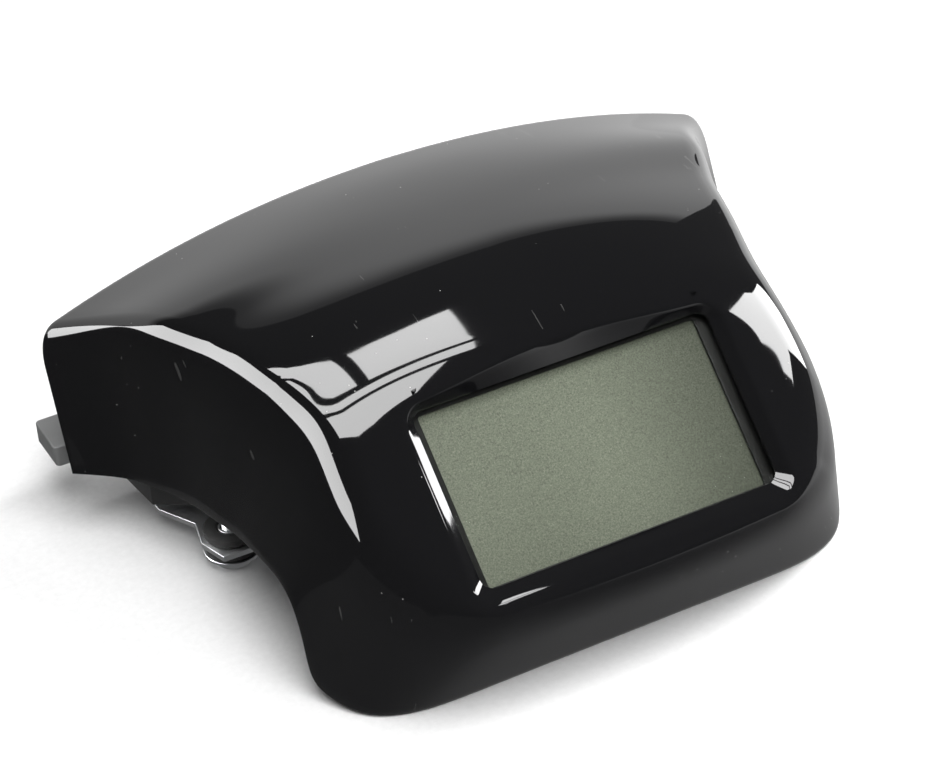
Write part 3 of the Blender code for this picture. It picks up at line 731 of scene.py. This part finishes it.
rounded_twin("base_housing", matt_black, "matt_housing", 0.5)
number = 0
for x, y in COVER_SCREWS:
    for side in (-1, 1):
        number += 1
        screw = hexed_screw(SMALL_HEAD, 1.5, 14, 1.5, 0.9, 36)
        add_piece(f"cover_screw_{number}_turned",
                  put(screw, base_frame, (side * x, y, base_low - CLEAR)), zinc, "zinc",
                  f"cover_screw_{number}")


# ---------------------------------------------------------------------------------------------
# Side socket: a small grey nylon connector clipped under the hood's left rear corner.
# ---------------------------------------------------------------------------------------------
rounded_twin("side_socket", nylon, "connector", 0.5, 3)


# ---------------------------------------------------------------------------------------------
# Mounting: a pressed zinc-plated bracket hangs from three rubber grommets, each with a steel
# sleeve, and a bolt with a broad washer goes up through each sleeve.
# ---------------------------------------------------------------------------------------------
STUD_END = 10.0
BOLTS = {"left": (-84.3, 76.6), "right": (84.3, 76.6), "rear": (0, 112.0)}
head_top = TABLE_DROP + BOLT_HEAD[1]
washer_top = head_top + WASHER[1]
grommet_low = washer_top + CLEAR
plate_low = washer_top + FLANGE[1] + 2 * CLEAR
grommet_high = plate_low + PLATE + CLEAR + FLANGE[1]


def grommet_mesh():
    """A rubber grommet with soft corners and a shallow groove round each flange."""
    wide, thick = FLANGE
    bore = SLEEVE[0] + CLEAR
    soft = 0.5
    low = [(bore, soft), (bore + soft, 0), (wide - soft, 0), (wide - 0.12, 0.12), (wide, soft),
           (wide, thick - soft), (wide - 0.12, thick - 0.12), (wide - soft, thick), (NECK, thick)]
    tall = grommet_high - grommet_low
    high = [(r, tall - z) for r, z in reversed(low)]
    return turned_mesh(low + high, 64)


def washer_mesh():
    """A stamped washer, its outer edge rolled over on one side."""
    radius, thick = WASHER
    low = CLEAR
    return turned_mesh([(SLEEVE[1], low + 0.15), (SLEEVE[1] + 0.15, low), (radius - 0.3, low),
                        (radius - 0.08, low + 0.1), (radius, low + 0.4), (radius, thick - 0.15),
                        (radius - 0.15, thick), (SLEEVE[1] + 0.1, thick), (SLEEVE[1], thick - 0.1)],
                       72)


rounded_twin("mounting_bracket", zinc, "zinc", 0.35, 3)
for side, (x, y) in BOLTS.items():
    add_piece(f"grommet_{side}_moulded", put(grommet_mesh(), base_frame, (x, y, grommet_low)),
              rubber, "rubber", f"grommet_{side}")
    rounded_twin(f"sleeve_{side}", zinc, "zinc", 0.15)
    add_piece(f"washer_{side}_stamped", put(washer_mesh(), base_frame, (x, y, head_top)),
              zinc, "zinc", f"washer_{side}")
    bolt_end = grommet_high + (-CLEAR if side == "rear" else STUD_END)
    bolt = hexed_screw(BOLT_HEAD, BOLT_SHANK, bolt_end - head_top, 2.9, 1.0, 64)
    add_piece(f"bolt_{side}_turned", put(bolt, base_frame, (x, y, head_top)), zinc, "zinc",
              f"bolt_{side}")


# ---------------------------------------------------------------------------------------------
# Studio: the cluster stands on a white table.  A wall, ceiling panes and side panels that show
# only as reflections give the gloss its grey and its white patches.  The table itself isn't
# mirrored: a glow just over it lights the chin and leaves the left flank black.
# ---------------------------------------------------------------------------------------------
LENS = 119.0
EYE = Vector((-0.3452, -0.7118, 0.6089))
EYE_RIGHT = Vector((0.8829, -0.4657, -0.0603))
EYE_UP = Vector((0.3128, 0.4874, 0.8152))
ROOM = 0.09
WALL_GLOW = 1.2
TABLE_GLOW = 1.1
SOFTBOX_GLOW = 13.0
SIDE_GLOW = 17.0
CEILING = 1.0
WALL_Y = 1.2
SIDE_X = 1.0
PANEL_FAR = 1.2
TABLE_HALF = 6.0
FILM = 0.0002


def toward(azimuth, elevation, distance):
    """A point seen from the table's middle; azimuth turns from +Y to +X, both in degrees."""
    turn = math.radians(azimuth)
    rise = math.radians(elevation)
    return Vector((math.sin(turn) * math.cos(rise), math.cos(turn) * math.cos(rise),
                   math.sin(rise))) * distance


def sheet_between(name, corners, look):
    """A flat sheet of the studio between its corners, which go round it."""
    mesh = bmesh.new()
    mesh.faces.new([mesh.verts.new(corner) for corner in corners])
    data = bpy.data.meshes.new(name)
    mesh.to_mesh(data)
    mesh.free()
    data.materials.append(look)
    thing = bpy.data.objects.new(name, data)
    bpy.context.scene.collection.objects.link(thing)
    return thing


def softbox(name, corners, strength, axis=0, span=(0.0, 1.0), ends=(1.0, 1.0)):
    """A glowing sheet that shows only as a reflection; it can fade along one axis."""
    made, shader, place = new_finish(name, (0, 0, 0), 1.0)
    shader.inputs["Emission Strength"].default_value = strength
    shader.inputs["Specular IOR Level"].default_value = 0.0
    along = place.node("ShaderNodeSeparateXYZ", None, place, output=axis)
    fade = along.node("ShaderNodeMapRange", {"interpolation_type": "SMOOTHSTEP"}, along, *span,
                      *ends)
    fade.blend((0, 0, 0), (1, 1, 1)).feed(shader, "Emission Color")
    thing = sheet_between(name, corners, made)
    thing.visible_camera = False
    thing.visible_diffuse = False
    thing.visible_shadow = False
    return thing


def lamp(name, place, size, power):
    """A soft area lamp aimed at the cluster, which gloss doesn't mirror."""
    data = bpy.data.lights.new(name, "AREA")
    data.shape = "DISK"
    data.size = size
    data.energy = power
    thing = bpy.data.objects.new(name, data)
    bpy.context.scene.collection.objects.link(thing)
    aim = (-place).to_track_quat("-Z", "Y").to_matrix().to_4x4()
    thing.matrix_world = Matrix.Translation(place) @ aim
    thing.visible_camera = False
    thing.visible_glossy = False


def table_finish():
    made, shader, place = new_finish("white_table", (0.86, 0.86, 0.86), 0.8)
    grain = place.noise(420.0, 3.0, 0.7)
    grain.blend((0.78, 0.78, 0.78), (0.94, 0.94, 0.94)).feed(shader, "Base Color")
    return made


white = table_finish()
TABLE_OUTLINE = [(-TABLE_HALF, -TABLE_HALF), (TABLE_HALF, -TABLE_HALF),
                 (TABLE_HALF, TABLE_HALF), (-TABLE_HALF, TABLE_HALF)]
table = sheet_between("table", [(x, y, 0) for x, y in TABLE_OUTLINE], white)
table.visible_glossy = False
NEAR = [(-0.6, -0.6), (0.9, -0.6), (0.9, 0.6), (-0.13, 0.6), (-0.13, -0.02), (-0.6, -0.02)]
softbox("table_glow", [(x, y, FILM) for x, y in NEAR], TABLE_GLOW, 0, (0.0, 0.4), (0.14, 1.5))

WALL_OUTLINE = [(-1.35, -0.1), (1.5, -0.1), (1.5, 1.05), (-1.35, 1.05)]
softbox("wall", [(x, WALL_Y, z) for x, z in WALL_OUTLINE], WALL_GLOW, 2, (0.8, 1.04), (1.0, 0.25))
PANES = [[(-0.16, 0.43), (0.28, 0.43), (0.28, 0.06), (-0.16, 0.23)],
         [(-0.24, 0.43), (-0.24, 0.26), (-0.95, 0.5), (-0.95, 0.6)],
         [(0.28, 0.02), (-0.95, 0.44), (-0.95, 0.37), (0.28, -0.1)],
         [(0.2, -0.12), (-0.95, 0.32), (-0.95, -0.05), (-0.2, -0.4), (0.08, -0.4)]]
for number, pane in enumerate(PANES):
    softbox(f"ceiling_pane_{number + 1}", [(x, y, CEILING) for x, y in pane], SOFTBOX_GLOW)
LEFT_PANE = [(-50, 16), (-94, 8), (-94, 24), (-50, 34)]
softbox("left_panel", [toward(*corner, PANEL_FAR) for corner in LEFT_PANE], SOFTBOX_GLOW)
RIGHT_PANE = [(0.33, -0.02), (0.14, -0.02), (-0.28, 0.64), (-0.55, 0.9), (-0.57, 0.99),
              (-0.12, 0.73), (0.28, 0.26)]
softbox("side_panel", [(SIDE_X, y, z) for y, z in RIGHT_PANE], SIDE_GLOW)
lamp("key", toward(95, 48, 1.2), 0.7, 14)
lamp("fill", toward(-175, 62, 1.2), 1.1, 20)

camera = bpy.data.objects.new("camera", bpy.data.cameras.new("camera"))
bpy.context.scene.collection.objects.link(camera)
camera.data.lens = LENS
camera.data.clip_end = 50
turn = Matrix((EYE_RIGHT, EYE_UP, EYE_RIGHT.cross(EYE_UP))).transposed().to_4x4()
camera.matrix_world = Matrix.Translation(EYE) @ turn
bpy.context.scene.camera = camera

world = bpy.data.worlds.new("room")
bpy.context.scene.world = world
world.use_nodes = True
sky = world.node_tree.nodes["Background"]
sky.inputs["Color"].default_value = (1, 1, 1, 1)
seen = Value(world.node_tree, world.node_tree.nodes.new("ShaderNodeLightPath").outputs[0])
(seen * (1 - ROOM) + ROOM).feed(sky, "Strength")
bpy.context.scene.view_settings.view_transform = "Standard"
